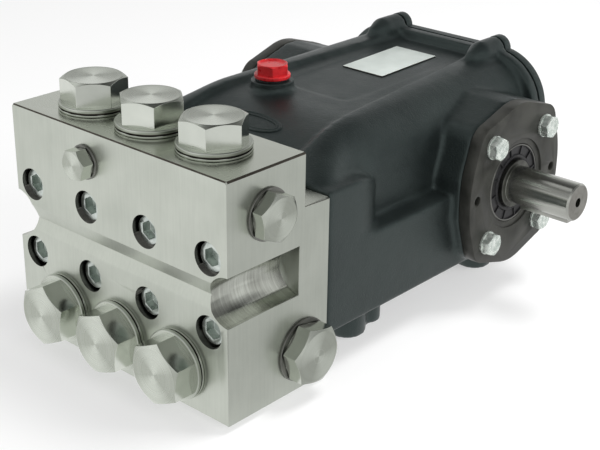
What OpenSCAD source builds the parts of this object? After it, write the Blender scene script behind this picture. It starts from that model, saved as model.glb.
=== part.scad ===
// High-pressure triplex plunger pump: stainless fluid head bolted to a black cast crankcase.
// Frame: origin on the ground at the centre of the four foot bolts, +X along the drive shaft,
// +Y from the fluid head to the rear cover, +Z up.

/* [Fluid head] */
// Width of the head across the three cylinders
head_w = 252; // [240:1:280]
// Height of the head
head_h = 205; // [198:1:225]
// Depth of the head from its front to the crankcase
head_d = 114; // [110:1:130]
// Depth of the part of the head above the step
head_top_d = 85; // [80:1:95]
// Height of the step at the back of the head
head_step_h = 160; // [158:1:172]
// Height of the underside of the head above the ground
head_lift = 6; // [2:1:20]
// Height of the plunger line above the underside of the head
plunger_h = 107; // [100:1:112]
// Depth of the shallow groove across the front
groove_depth = 4; // [2:0.5:8]
// Height of each sloping side of the groove
groove_slope_h = 12; // [8:1:16]
// Radius of the half-round channel in each side
channel_r = 21.3; // [14:0.1:24]
// Length of the half-round channel from the front
channel_l = 79; // [60:1:90]
// Radius of the chamfer along the upper edges
head_chamfer = 1.5; // [0.5:0.5:3]

/* [Valve caps] */
// Distance from one cylinder to the next
cyl_pitch = 70; // [66:1:74]
// Width across the flats of a valve cap
cap_af = 48.5; // [40:0.5:54]
// Diameter of the round collar under the hexagon
cap_collar_d = 60; // [56:0.5:64]
// Height of the collar
cap_collar_h = 6.5; // [4:0.5:9]
// Height of a cap above its seat
cap_h = 27; // [22:0.5:34]
// Diameter of the threaded plug under the cap
cap_thread_d = 44; // [36:0.5:48]
// Length of the threaded plug
cap_thread_l = 28; // [20:1:34]
// Depth of the valve bores below the discharge caps
discharge_bore_l = 60; // [40:1:72]
// Distance of the discharge caps from the front of the head
discharge_setback = 42.6; // [40:0.1:46]
// Height of the suction caps above the underside of the head
suction_h = 35.5; // [33:0.5:40]

/* [Head screws] */
// Diameter of the head screws
screw_d = 16; // [12:1:18]
// Diameter of their socket heads
screw_head_d = 24; // [21:1:26]
// Height of their socket heads
screw_head_h = 16; // [12:1:18]
// Width across the flats of the socket
screw_socket_af = 14; // [10:1:14]
// Depth of the socket
screw_socket_l = 8; // [5:0.5:10]
// Diameter of the counterbores
counterbore_d = 28; // [27:0.5:32]
// How far the screw heads lie below the front face
screw_sunk = 4.5; // [2:0.5:8]
// Distance of each screw row from the plunger line
screw_row_offset = 31; // [28:0.5:34]
// Length of thread in the crankcase
screw_grip = 32; // [24:1:40]

/* [Ports and plugs] */
// Height of the outlet gallery above the underside of the head
outlet_h = 167.5; // [165:0.5:172]
// Diameter of the outlet port thread
outlet_port_d = 24.2; // [18:0.1:28]
// Diameter of the outlet gallery
outlet_bore_d = 18; // [12:1:18]
// Distance of the inlet gallery from the front of the head
inlet_setback = 84; // [80:0.5:86]
// Diameter of the inlet port thread
inlet_port_d = 44.8; // [38:0.1:48]
// Diameter of the inlet gallery
inlet_bore_d = 36; // [28:1:36]
// Length of the port threads
port_thread_l = 22; // [16:1:24]
// Width across the flats of the outlet plug
outlet_plug_af = 36; // [30:0.5:40]
// Height of the outlet plug outside the head
outlet_plug_h = 12.5; // [10:0.5:18]
// Diameter of the sealing ring under the outlet plug
outlet_ring_d = 42.6; // [41:0.2:48]
// Width across the flats of the inlet plug
inlet_plug_af = 46; // [40:0.5:52]
// Height of the inlet plug outside the head
inlet_plug_h = 16.5; // [12:0.5:22]
// Diameter of the sealing ring under the inlet plug
inlet_ring_d = 54.6; // [53:0.2:58]
// Thickness of the sealing rings
ring_t = 2; // [1:0.5:3]
// Width across the flats of the gauge plug
gauge_plug_af = 24; // [20:0.5:28]
// Height of the gauge plug in front of its ring
gauge_plug_h = 12; // [8:0.5:16]
// Height of the gauge port above the underside of the head
gauge_h = 178; // [174:0.5:184]
// Distance of the gauge port from the centre line
gauge_offset = 33; // [30:0.5:35]
// Diameter of the gauge port thread
gauge_port_d = 13; // [10:0.5:16]

/* [Crankcase] */
// Distance from the front foot bolts to the fluid head
joint_setback = 78; // [70:1:90]
// Width of the lower body
case_w = 252; // [244:1:260]
// Width of the recessed upper body
waist_w = 211; // [200:1:220]
// Height of the underside of the body above the ground
sump_z = 41; // [34:1:48]
// Height of the side ledges above the ground
ledge_z = 116; // [108:1:122]
// Length of the front pad that carries the head
pad_l = 36; // [30:1:44]
// Radius that blends the front pad into the upper body
pad_blend_r = 60; // [40:1:70]
// Height of the top of the front pad
pad_top_z = 168.5; // [160:0.5:170]
// Length of the level part of that top
pad_level_l = 28; // [20:1:40]
// Radius in which that top falls away behind
pad_fall_r = 80; // [70:1:100]
// Height of the crankcase where it meets the head
front_top_z = 171; // [168:1:176]
// Height of the side ridges over the crosshead guides
ridge_z = 199; // [194:1:204]
// Height of the ridges at the rear flange
rear_top_z = 204; // [200:1:210]
// Length of the rounded front rise of the ridges
rise_l = 100; // [80:1:120]
// Height of the round shoulders over the waist
shoulder_drop = 48; // [30:1:56]
// Height of the low shoulders at the head
front_shoulder_drop = 11; // [4:1:12]
// How much wider the upper body is at the head than at the waist, on each side
front_flare = 14; // [0:1:18]
// Length over which the low wide shoulders turn into the waist
shoulder_l = 70; // [60:1:140]
// Half width of the level field under the nameplate
field_half = 41; // [30:1:44]
// Distance of the front edge of that field behind the fluid head
field_setback = 120; // [104:1:140]
// Depth of that field below the rest of the tray
field_depth = 1; // [0.5:0.5:2]
// Depth of the tray between the ridges
tray_depth = 5; // [2:0.5:8]
// Half width of the tray at the head
tray_front_half = 74; // [66:1:82]
// Half width of the tray at the rear
tray_rear_half = 47; // [40:1:56]

/* [Feet] */
// Distance between the foot bolts along the shaft
foot_pitch_x = 164; // [150:1:180]
// Distance between the foot bolts along the plungers
foot_pitch_y = 196; // [180:1:210]
// Diameter of each foot
foot_d = 36; // [32:1:42]
// Diameter of the tapped hole in each foot
foot_thread_d = 10.2; // [8:0.1:14]
// Depth of the tapped hole in each foot
foot_thread_l = 26; // [18:1:32]
// Diameter of the casting lobe behind each front foot
lobe_d = 24; // [18:1:28]
// Distance of that lobe behind the foot
lobe_setback = 25; // [20:1:30]

/* [Bearing covers] */
// Distance from the rear foot bolts forward to the crankshaft
crank_setback = 36; // [30:1:44]
// Height of the crankshaft above the ground
crank_z = 113; // [108:1:120]
// Distance from the crankshaft to the side edges of the bearing covers
cover_side = 71; // [66:1:76]
// Length of those side edges
cover_side_flat = 36; // [30:1:60]
// Distance from the crankshaft to the top and bottom edges of the covers
cover_top = 77; // [72:1:80]
// Length of those top and bottom edges
cover_top_flat = 16; // [10:1:34]
// Radius of the lobe round each cover bolt
cover_lobe_r = 20; // [16:1:24]
// Half distance between the cover bolts, front to back
cover_bolt_y = 41; // [38:0.5:46]
// Half distance between the cover bolts, up and down
cover_bolt_z = 46; // [40:0.5:50]
// Thickness of the covers
cover_t = 12; // [8:0.5:16]
// Height of the round raised field on the closed left cover
blank_crown_t = 3; // [1:0.5:5]
// How far the covers stand out of the lower body
cover_stand = 20.5; // [18:0.5:30]
// Half distance between the small tapped holes of the cover
pto_hole_y = 60; // [56:0.5:64]
// Diameter of the small tapped holes
pto_hole_d = 8.5; // [6:0.5:10]
// Diameter of the cover bolts
cover_bolt_d = 12; // [8:1:14]
// Width across the flats of the cover bolts
cover_bolt_af = 19; // [15:0.5:22]
// Diameter of the recess round the shaft seal
seal_recess_d = 85; // [80:1:92]
// Depth of that recess
seal_recess_l = 2; // [1:0.5:4]
// Outer diameter of the shaft seal
seal_d = 74; // [66:1:78]
// Width of the shaft seal
seal_t = 7; // [5:0.5:9]
// Number of ribs on the face of the seal
seal_ribs = 12; // [8:1:16]

/* [Crankshaft] */
// Diameter of the drive end
shaft_d = 35; // [30:0.5:40]
// Length of the drive end outside the cover
shaft_l = 66; // [58:1:80]
// Diameter of the shaft under the seal
shoulder_d = 45; // [42:0.5:50]
// Diameter of the main journals
journal_d = 60; // [54:1:66]
// Length of each main journal
journal_l = 26; // [18:1:34]
// Radial clearance of the running fits
running_gap = 0.05; // [0.02:0.01:0.1]
// Width of the key
key_w = 10; // [8:1:12]
// Height of the key
key_h = 8; // [7:0.5:9]
// Length of the key
key_l = 50; // [36:1:54]
// Depth of the key's seat in the shaft
key_seat = 5; // [4:0.5:6]
// Distance of the key from the end of the shaft
key_end = 6; // [2:1:10]
// Diameter of the centre hole in the end of the shaft
centre_hole_d = 8.5; // [6:0.5:12]
// Depth of that hole
centre_hole_l = 20; // [12:1:26]

/* [Rear cover] */
// Distance from the rear foot bolts to the outside of the rear cover
rear_setback = 55; // [50:1:64]
// Thickness of the rear cover
rear_cover_t = 9; // [6:0.5:12]
// Thickness of the flange behind which it sits
rear_flange_t = 12; // [8:0.5:16]
// How far the flange stands out of the waist
flange_lip = 10.5; // [8:0.5:16]
// Corner radius at the top of the flange
flange_top_r = 52; // [40:1:60]
// Corner radius at the bottom of the flange
flange_low_r = 22; // [14:1:30]
// Diameter of the rear cover bolts
rear_bolt_d = 8; // [6:0.5:10]
// Width across the flats of the rear cover bolts
rear_bolt_af = 13; // [10:0.5:16]
// Distance of the rear cover bolts from the edge of the flange
rear_bolt_inset = 12; // [10:1:16]
// Height of the side bolts above and below the crankshaft
rear_bolt_rise = 30; // [20:1:40]
// Distance of the lowest bolts from the centre line
rear_bolt_x = 50; // [40:1:70]
// Height of the raised field in the middle of the rear cover
crown_t = 4; // [2:0.5:8]
// Distance of the raised field from the edge of the rear cover
crown_inset = 26; // [22:1:34]
// Diameter of the two long bolt bosses on top
top_boss_d = 24; // [20:1:28]
// Length of those bosses
top_boss_l = 44; // [34:1:56]
// Length of their pointed noses
top_nose_l = 16; // [6:1:22]
// Distance of those bosses from the centre line
top_boss_x = 60; // [52:1:66]

/* [Oil fittings and nameplate] */
// Diameter of the oil level sight's thread
sight_d = 20; // [16:1:24]
// Width across the flats of the oil level sight
sight_af = 27; // [24:1:30]
// Height of the oil level sight above the crankshaft
sight_rise = 10; // [0:1:20]
// Diameter of the drain plug's thread
drain_d = 16; // [12:1:18]
// Width across the flats of the drain plug
drain_af = 19; // [17:1:24]
// Height of the drain plug above the underside of the body
drain_rise = 38; // [30:1:44]
// Distance of the oil filler behind the fluid head
filler_setback = 104; // [90:1:112]
// Distance of the oil filler from the centre line
filler_offset = 34; // [0:1:36]
// Diameter of the filler boss
filler_boss_d = 39; // [34:1:44]
// Height of the top of the filler boss above the ground
filler_top_z = 203; // [200:1:210]
// Diameter of the flange of the filler cap
filler_flange_d = 33; // [30:0.5:38]
// Height of the filler cap above its sealing ring
filler_cap_h = 15; // [12:0.5:22]
// Width across the flats of the filler cap
filler_cap_af = 27; // [22:0.5:30]
// Width of the bare nameplate
plate_w = 48; // [40:1:56]
// Length of the bare nameplate
plate_l = 83; // [70:1:90]
// Distance of the nameplate from the rear end of the tray
plate_setback = 28; // [16:1:36]
// Thickness of the bare nameplate
plate_t = 1; // [0.8:0.1:2]
// Distance of the raised oval behind the fluid head
oval_setback = 50; // [40:1:56]
// Length of the raised oval on the front slope of the tray
oval_w = 50; // [40:1:56]
// Width of the raised oval
oval_d = 20; // [16:1:22]

/* [Hidden] */
$fn = 72;
eps = 0.5;
shoulder_steps = 10;
rise_rows = 20;
rear_rows_n = 4;
thread_gap = 0.05;
clear_gap = 0.75;
seat_gap = 0.1;

// Angles to which the hexagons happen to be tightened
discharge_turns = [0, 22, 28];
suction_turns = [26, 20, 24];
outlet_plug_turn = 8;
inlet_plug_turn = 18;
gauge_plug_turn = 10;
drain_turn = 15;

cyls = [-1, 0, 1];
sides = [-1, 1];

joint_y = -foot_pitch_y / 2 - joint_setback;
front_y = joint_y - head_d;
head_top_y = front_y + head_top_d;
head_top_z = head_lift + head_h;
step_z = head_lift + head_step_h;
plunger_z = head_lift + plunger_h;
discharge_y = front_y + discharge_setback;
suction_z = head_lift + suction_h;
outlet_z = head_lift + outlet_h;
inlet_y = front_y + inlet_setback;
gauge_z = head_lift + gauge_h;

case_half = case_w / 2;
waist_half = waist_w / 2;
flange_half = waist_half + flange_lip;
cover_face_x = case_half + cover_stand;
crank_y = foot_pitch_y / 2 - crank_setback;
shaft_end_x = cover_face_x + shaft_l;
seat_x = cover_face_x - cover_t;
seal_x = cover_face_x - seal_recess_l - seal_t;
key_x = shaft_end_x - key_end - key_l;
rear_y = foot_pitch_y / 2 + rear_setback;
flange_y = rear_y - rear_cover_t;
flange_front_y = flange_y - rear_flange_t;
flange_low_z = sump_z - 1;
flange_top_z = rear_top_z + 3;
top_bolt_z = rear_top_z + 2;
pad_y = joint_y + pad_l;
rise_drop = ridge_z - front_top_z;
rise_r = (rise_l * rise_l + rise_drop * rise_drop) / (2 * rise_drop);
rise_y = joint_y + rise_l;
tray_end_y = flange_front_y - eps;
filler_y = joint_y + filler_setback;
filler_x = -filler_offset;
plate_y = tray_end_y - plate_setback - plate_l / 2;
plate_z = ridge_z + (rear_top_z - ridge_z) * (plate_y - rise_y) / (flange_y - rise_y) - tray_depth - field_depth;
plate_x = -5;
oval_y = joint_y + oval_setback;
ring_gap = 0.2;
blend_gap = 0.15;
rear_bolt_grip = rear_flange_t - 2;
cover_bolt_grip = 20;
sight_z = crank_z + sight_rise;
drain_z = sump_z + drain_rise;
filler_thread_d = filler_cap_af - 3;
filler_thread_l = 14;
gauge_thread_l = port_thread_l - 4;
plug_collar_h = 1;
fitting_collar_h = 2;

// Draws a (Y, Z) outline and sweeps it from x0 to x1
module along_x(x0, x1) {
    translate([x0, 0, 0]) rotate([90, 0, 90]) linear_extrude(x1 - x0) children();
}

// Draws an (X, Z) outline and sweeps it from y0 to y1
module along_y(y0, y1) {
    translate([0, y1, 0]) rotate([90, 0, 0]) linear_extrude(y1 - y0) children();
}

// Draws an (X, Y) outline and sweeps it from z0 to z1
module along_z(z0, z1) {
    translate([0, 0, z0]) linear_extrude(z1 - z0) children();
}

module rod_x(d, x0, x1, y, z) {
    translate([x0, y, z]) rotate([0, 90, 0]) cylinder(d = d, h = x1 - x0);
}

module rod_y(d, y0, y1, x, z) {
    translate([x, y1, z]) rotate([90, 0, 0]) cylinder(d = d, h = y1 - y0);
}

module rod_z(d, z0, z1, x, y) {
    translate([x, y, z0]) cylinder(d = d, h = z1 - z0);
}

// Hexagonal prism with its upper corners turned to a cone
module chamfered_hex(af, h, chamfer_drop) {
    corner_r = af / 2 / cos(30);
    intersection() {
        cylinder(r = corner_r, h = h, $fn = 6);
        union() {
            cylinder(r = corner_r + eps, h = h - chamfer_drop);
            translate([0, 0, h - chamfer_drop])
                cylinder(r1 = corner_r + eps, r2 = af / 2, h = chamfer_drop);
        }
    }
}

// Hexagon on a grooved round collar with a plug below, seated at z = 0
module hex_plug(af, h, collar_d, collar_h, thread_d, thread_l, turn) {
    groove_h = collar_h * 0.14;
    cylinder(d = collar_d, h = collar_h * 0.36);
    cylinder(d = collar_d - 3, h = collar_h);
    translate([0, 0, collar_h * 0.36 + groove_h]) cylinder(d = collar_d, h = collar_h * 0.5);
    rotate([0, 0, turn]) chamfered_hex(af, h, (h - collar_h) * 0.18);
    translate([0, 0, -thread_l]) cylinder(d = thread_d, h = thread_l + eps);
}

// Hexagon bolt with its washer, seated at z = 0
module hex_bolt(d, af, l) {
    washer_t = d * 0.2;
    cylinder(d = af * 1.14, h = washer_t);
    chamfered_hex(af, washer_t + d * 0.62, d * 0.1);
    translate([0, 0, -l]) cylinder(d = d, h = l + eps);
}

module valve_cap(turn) {
    color("lightgray")
        hex_plug(cap_af, cap_h, cap_collar_d, cap_collar_h, cap_thread_d, cap_thread_l, turn);
}

module discharge_valve_cap(i) {
    translate([cyls[i] * cyl_pitch, discharge_y, head_top_z]) valve_cap(discharge_turns[i]);
}

module suction_valve_cap(i) {
    translate([cyls[i] * cyl_pitch, front_y, suction_z]) rotate([90, 0, 0])
        valve_cap(suction_turns[i]);
}

// Places of the head screws along the head
function screw_x(i) = (i - 1.5) * cyl_pitch;

// Socket screw from the front face into the crankcase
module head_screw(i, side) {
    tip_y = joint_y + screw_grip;
    head_y = front_y + screw_sunk;
    color("silver") translate([screw_x(i), head_y, plunger_z + side * screw_row_offset])
    rotate([-90, 0, 0]) difference() {
        union() {
            cylinder(d = screw_head_d, h = screw_head_h);
            cylinder(d = screw_d, h = tip_y - head_y);
        }
        translate([0, 0, -eps]) rotate([0, 0, 30])
            cylinder(d = screw_socket_af / cos(30), h = screw_socket_l + eps, $fn = 6);
    }
}

// Side outline of the head, with the step behind and the groove in front
module head_outline() {
    polygon([[front_y, head_lift], [joint_y, head_lift], [joint_y, step_z],
        [head_top_y, step_z], [head_top_y, head_top_z], [front_y, head_top_z],
        [front_y, plunger_z + groove_slope_h], [front_y + groove_depth, plunger_z],
        [front_y, plunger_z - groove_slope_h]]);
}

// Bevels along the two upper side edges of the head
module head_edge_cuts() {
    for (s = sides)
        translate([s * head_w / 2, (front_y + head_top_y) / 2, head_top_z]) rotate([0, 45, 0])
            cube([head_chamfer * sqrt(2), head_top_d + 2 * eps, head_chamfer * sqrt(2)], center = true);
}

module head_screw_holes() {
    seat_y = front_y + screw_sunk + screw_head_h;
    for (i = [0:3]) for (s = sides) {
        z = plunger_z + s * screw_row_offset;
        rod_y(counterbore_d, front_y - eps, seat_y, screw_x(i), z);
        rod_y(screw_d + 2 * clear_gap, seat_y - eps, joint_y + eps, screw_x(i), z);
    }
}

module valve_bores() {
    d = cap_thread_d + 2 * thread_gap;
    for (c = cyls) {
        rod_z(d, head_top_z - discharge_bore_l, head_top_z + eps, c * cyl_pitch, discharge_y);
        rod_y(d, front_y - eps, inlet_y, c * cyl_pitch, suction_z);
    }
}

module galleries() {
    half = head_w / 2;
    rod_x(outlet_bore_d, -half, half, discharge_y, outlet_z);
    rod_x(inlet_bore_d, -half, half, inlet_y, suction_z);
    for (s = sides) {
        x0 = s > 0 ? half - port_thread_l : -half - eps;
        x1 = s > 0 ? half + eps : port_thread_l - half;
        rod_x(outlet_port_d, x0, x1, discharge_y, outlet_z);
        rod_x(inlet_port_d, x0, x1, inlet_y, suction_z);
    }
    rod_y(gauge_port_d, front_y - eps, front_y + port_thread_l, -gauge_offset, gauge_z);
}

module head_block() {
    color("gainsboro") difference() {
        along_x(-head_w / 2, head_w / 2) head_outline();
        head_edge_cuts();
        for (s = sides)
            rod_y(2 * channel_r, front_y - eps, front_y + channel_l, s * head_w / 2, plunger_z);
        head_screw_holes();
        valve_bores();
        galleries();
    }
}

// Plug and sealing ring for a port in the right side of the head
module side_plug(af, h, port_d, y, z, turn) {
    color("lightgray") translate([head_w / 2 + ring_t, y, z]) rotate([0, 90, 0])
        hex_plug(af, h, af, plug_collar_h, port_d - 2 * thread_gap, port_thread_l, turn);
}

module side_ring(d, port_d, y, z) {
    color("gray") difference() {
        rod_x(d, head_w / 2, head_w / 2 + ring_t, y, z);
        rod_x(port_d + 2 * ring_gap, head_w / 2 - eps, head_w / 2 + ring_t + eps, y, z);
    }
}

module outlet_plug() {
    side_plug(outlet_plug_af, outlet_plug_h, outlet_port_d, discharge_y, outlet_z,
        outlet_plug_turn);
}

module outlet_plug_ring() {
    side_ring(outlet_ring_d, outlet_port_d, discharge_y, outlet_z);
}

module inlet_plug() {
    side_plug(inlet_plug_af, inlet_plug_h, inlet_port_d, inlet_y, suction_z,
        inlet_plug_turn);
}

module inlet_plug_ring() {
    side_ring(inlet_ring_d, inlet_port_d, inlet_y, suction_z);
}

module gauge_plug() {
    color("lightgray") translate([-gauge_offset, front_y - ring_t, gauge_z]) rotate([90, 0, 0])
        hex_plug(gauge_plug_af, gauge_plug_h, gauge_plug_af, plug_collar_h, gauge_port_d - 2 * thread_gap,
            gauge_thread_l, gauge_plug_turn);
}

module gauge_plug_ring() {
    color("gray") difference() {
        rod_y(gauge_plug_af + 5, front_y - ring_t, front_y, -gauge_offset, gauge_z);
        rod_y(gauge_port_d + 2 * ring_gap, front_y - ring_t - eps, front_y + eps, -gauge_offset, gauge_z);
    }
}

// Point where a line from p touches a circle
function touch_point(p, centre, r, side) =
    let (v = p - centre, turn = atan2(v[1], v[0]) + side * acos(r / norm(v)))
    centre + r * [cos(turn), sin(turn)];

// Corners of one quarter of the cover outline, from its side to its top
function cover_quarter() =
    let (lobe = [cover_bolt_y, cover_bolt_z],
        side_point = [cover_side, cover_side_flat / 2],
        top_point = [cover_top_flat / 2, cover_top])
    [side_point, touch_point(side_point, lobe, cover_lobe_r - blend_gap, 1),
        touch_point(top_point, lobe, cover_lobe_r - blend_gap, -1), top_point];

// Outline of the bearing housings and covers, about the crankshaft
module cover_outline() {
    quarter = cover_quarter();
    last = len(quarter) - 1;
    for (a = sides) for (b = sides)
        translate([a * cover_bolt_y, b * cover_bolt_z]) circle(r = cover_lobe_r);
    polygon([for (q = [[1, 1], [-1, 1], [-1, -1], [1, -1]]) for (k = [0:last])
        let (p = quarter[q[0] * q[1] > 0 ? k : last - k]) [q[0] * p[0], q[1] * p[1]]]);
}

module about_crank() {
    translate([crank_y, crank_z]) children();
}

module cover_bolt_holes(x0, x1, d) {
    for (a = sides) for (b = sides)
        rod_x(d, x0, x1, crank_y + a * cover_bolt_y, crank_z + b * cover_bolt_z);
}

module bearing_cover_right() {
    color("dimgray") difference() {
        along_x(seat_x, cover_face_x) about_crank() cover_outline();
        rod_x(seal_d + 2 * seat_gap, seat_x - eps, cover_face_x + eps, crank_y, crank_z);
        rod_x(seal_recess_d, cover_face_x - seal_recess_l, cover_face_x + eps, crank_y, crank_z);
        cover_bolt_holes(seat_x - eps, cover_face_x + eps, cover_bolt_d + 2 * clear_gap);
        for (a = sides)
            rod_x(pto_hole_d, seat_x + 2, cover_face_x + eps, crank_y + a * pto_hole_y, crank_z);
    }
}

module bearing_cover_left() {
    color("dimgray") difference() {
        union() {
            along_x(-cover_face_x, -seat_x) about_crank() cover_outline();
            rod_x(seal_recess_d, -cover_face_x - blank_crown_t, -seat_x, crank_y, crank_z);
        }
        cover_bolt_holes(-cover_face_x - eps, -seat_x + eps, cover_bolt_d + 2 * clear_gap);
    }
}

module cover_bolts(side) {
    color("silver") for (a = sides) for (b = sides)
        translate([side * cover_face_x, crank_y + a * cover_bolt_y, crank_z + b * cover_bolt_z])
            rotate([0, side * 90, 0]) hex_bolt(cover_bolt_d, cover_bolt_af, cover_t + cover_bolt_grip);
}

module shaft_seal() {
    rim_w = 6;
    rib_w = 1.6;
    face_x = seal_x + seal_t;
    web_x = face_x - 1.5;
    rib_r = shoulder_d / 2 + 1;
    color("darkslategray") {
        difference() {
            rod_x(seal_d, seal_x, face_x, crank_y, crank_z);
            rod_x(shoulder_d + 2 * running_gap, seal_x - eps, face_x + eps, crank_y, crank_z);
            rod_x(seal_d - 2 * rim_w, web_x, face_x + eps, crank_y, crank_z);
        }
        for (k = [1:seal_ribs])
            translate([web_x - 1, crank_y, crank_z]) rotate([k * 360 / seal_ribs, 0, 0])
                translate([0, rib_r, -rib_w / 2]) cube([2, seal_d / 2 - rim_w + eps - rib_r, rib_w]);
    }
}

module crankshaft() {
    inner_x = seat_x - 1;
    end_bevel = 1.5;
    color("silver") difference() {
        union() {
            rod_x(shaft_d, cover_face_x - eps, shaft_end_x - end_bevel, crank_y, crank_z);
            translate([shaft_end_x - end_bevel, crank_y, crank_z]) rotate([0, 90, 0])
                cylinder(d1 = shaft_d, d2 = shaft_d - 2 * end_bevel, h = end_bevel);
            rod_x(shoulder_d, inner_x - eps, cover_face_x + 1, crank_y, crank_z);
            rod_x(journal_d, inner_x - journal_l, inner_x, crank_y, crank_z);
            rod_x(journal_d - 6, -inner_x, inner_x, crank_y, crank_z);
            rod_x(journal_d, -inner_x, journal_l - inner_x, crank_y, crank_z);
        }
        translate([key_x, crank_y - key_w / 2, crank_z - shaft_d / 2 - eps])
            cube([key_l, key_w, key_seat + eps]);
        rod_x(centre_hole_d, shaft_end_x - centre_hole_l, shaft_end_x + eps, crank_y, crank_z);
    }
}

module shaft_key() {
    color("gray")
        translate([key_x + seat_gap, crank_y - key_w / 2 + seat_gap,
            crank_z - shaft_d / 2 + key_seat - key_h])
            cube([key_l - 2 * seat_gap, key_w - 2 * seat_gap, key_h]);
}

// Height of the ridges at a distance y along the pump
function crest_z(y) = y < rise_y
    ? ridge_z - rise_r + sqrt(rise_r * rise_r - (rise_y - y) * (rise_y - y))
    : ridge_z + (rear_top_z - ridge_z) * (y - rise_y) / (flange_y - rise_y);

// How far the shoulders at y have turned from their form at the head into the waist, from 0 to 1
function waist_share(y) = 0.5 - 0.5 * cos(180 * min((y - joint_y) / shoulder_l, 1));

// Half width of the upper body
function body_half(y) = waist_half + (1 - waist_share(y)) * front_flare;

// Drop from the ridges to the edge of the shoulders
function body_drop(y) =
    front_shoulder_drop + waist_share(y) * (shoulder_drop - front_shoulder_drop);

// Cross-section of the upper body at y: side walls, round shoulders and the flat between the ridges
function body_section(y) =
    let (along = (y - joint_y) / (flange_y - joint_y), half = body_half(y), drop = body_drop(y),
        crest = tray_front_half + 4 + along * (tray_rear_half - tray_front_half + 4),
        arc = [for (k = [0:shoulder_steps]) let (a = 90 * k / shoulder_steps)
            [crest + (half - crest) * cos(a), crest_z(y) - drop * (1 - sin(a))]])
    concat([[half, y, ledge_z - eps]], [for (p = arc) [p[0], y, p[1]]],
        [for (k = [shoulder_steps:-1:0]) [-arc[k][0], y, arc[k][1]]], [[-half, y, ledge_z - eps]]);

// Solid through a row of cross-sections with the same number of points
module loft(sections) {
    n = len(sections[0]);
    last = len(sections) - 1;
    polyhedron(
        points = [for (section = sections) for (p = section) p],
        faces = concat([[for (k = [n - 1:-1:0]) k]],
            [for (i = [0:last - 1]) for (k = [0:n - 1]) let (a = i * n + k, b = i * n + (k + 1) % n)
                each [[a, b, b + n], [a, b + n, a + n]]],
            [[for (k = [0:n - 1]) last * n + k]]));
}

module upper_body() {
    front_rows = [for (k = [0:rise_rows]) joint_y + rise_l * k / rise_rows];
    rear_rows = [for (k = [1:rear_rows_n]) rise_y + (flange_y - rise_y) * k / rear_rows_n];
    loft([for (y = concat(front_rows, rear_rows)) body_section(y)]);
}

// Plan of the front pad, whose rear corners are round
module pad_plan() {
    translate([-case_half, joint_y]) square([case_w, pad_l]);
    translate([pad_blend_r - case_half, joint_y])
        square([case_w - 2 * pad_blend_r, pad_l + pad_blend_r]);
    for (s = sides) translate([s * (case_half - pad_blend_r), pad_y]) circle(r = pad_blend_r - blend_gap);
}

// Side outline of the front pad: a level top that falls away in an arc
module pad_side() {
    level_y = joint_y + pad_level_l;
    translate([joint_y, ledge_z - eps]) square([pad_level_l, pad_top_z - blend_gap - ledge_z + eps]);
    intersection() {
        translate([level_y, pad_top_z - pad_fall_r]) circle(r = pad_fall_r);
        translate([level_y - eps, ledge_z - eps])
            square([pad_l + pad_blend_r, pad_top_z - ledge_z]);
    }
}

module front_pad() {
    intersection() {
        along_z(ledge_z - eps, pad_top_z) pad_plan();
        along_x(-case_half, case_half) pad_side();
    }
}

module lower_body() {
    rear_half = flange_half - 2;
    along_z(sump_z, ledge_z) {
        translate([-case_half, joint_y]) square([case_w, crank_y - joint_y]);
        translate([-rear_half, joint_y]) square([2 * rear_half, flange_y - joint_y]);
    }
}

module flange_outline(inset) {
    half = flange_half - inset;
    low = flange_low_z + inset;
    top = flange_top_z - inset;
    tr = max(flange_top_r - inset, 6);
    lr = max(flange_low_r - inset, 6);
    translate([-half, low + lr]) square([2 * half, top - tr - low - lr]);
    translate([tr - half, low + lr]) square([2 * (half - tr), top - low - lr]);
    translate([lr - half, low]) square([2 * (half - lr), top - tr - low]);
    for (s = sides) {
        translate([s * (half - tr), top - tr]) circle(r = tr);
        translate([s * (half - lr), low + lr]) circle(r = lr);
    }
}

// Centres of the bolts round the rear cover
function rear_bolt_points() = [
    for (s = sides) [s * top_boss_x, top_bolt_z],
    for (s = sides) [s * (flange_half - rear_bolt_inset), crank_z + rear_bolt_rise],
    for (s = sides) [s * (flange_half - rear_bolt_inset), crank_z - rear_bolt_rise],
    for (s = sides) [s * rear_bolt_x, flange_low_z + rear_bolt_inset]];

module top_bosses() {
    y0 = flange_y - top_boss_l + top_nose_l;
    for (s = sides) {
        rod_y(top_boss_d, y0, flange_y, s * top_boss_x, top_bolt_z);
        translate([s * top_boss_x, y0, top_bolt_z]) rotate([90, 0, 0])
            cylinder(d1 = top_boss_d, d2 = top_boss_d * 0.4, h = top_nose_l);
    }
}

module feet() {
    lobe_lift = 3;
    lobe_x = (foot_pitch_x + foot_d - lobe_d) / 2 - 2;
    top_z = sump_z + 30;
    for (sx = sides) {
        for (sy = sides) rod_z(foot_d, 0, top_z, sx * foot_pitch_x / 2, sy * foot_pitch_y / 2);
        rod_z(lobe_d, lobe_lift, top_z, sx * lobe_x, lobe_setback - foot_pitch_y / 2);
    }
}

// Side outline of everything above a floor that lies a given depth below the ridges
module above_ridges(depth) {
    floor_r = rise_r - depth;
    front_y0 = joint_y - 2 * eps;
    difference() {
        polygon([[front_y0, ledge_z], [rise_y, ledge_z], [rise_y, ridge_z - depth],
            [flange_y, rear_top_z - depth], [flange_y, rear_top_z + 20], [front_y0, rear_top_z + 20]]);
        translate([rise_y, ridge_z - rise_r]) circle(r = floor_r, $fn = 144);
        translate([front_y0 - eps, ledge_z - eps])
            square([joint_y - front_y0 + 2 * eps, front_top_z - depth - ledge_z]);
    }
}

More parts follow.
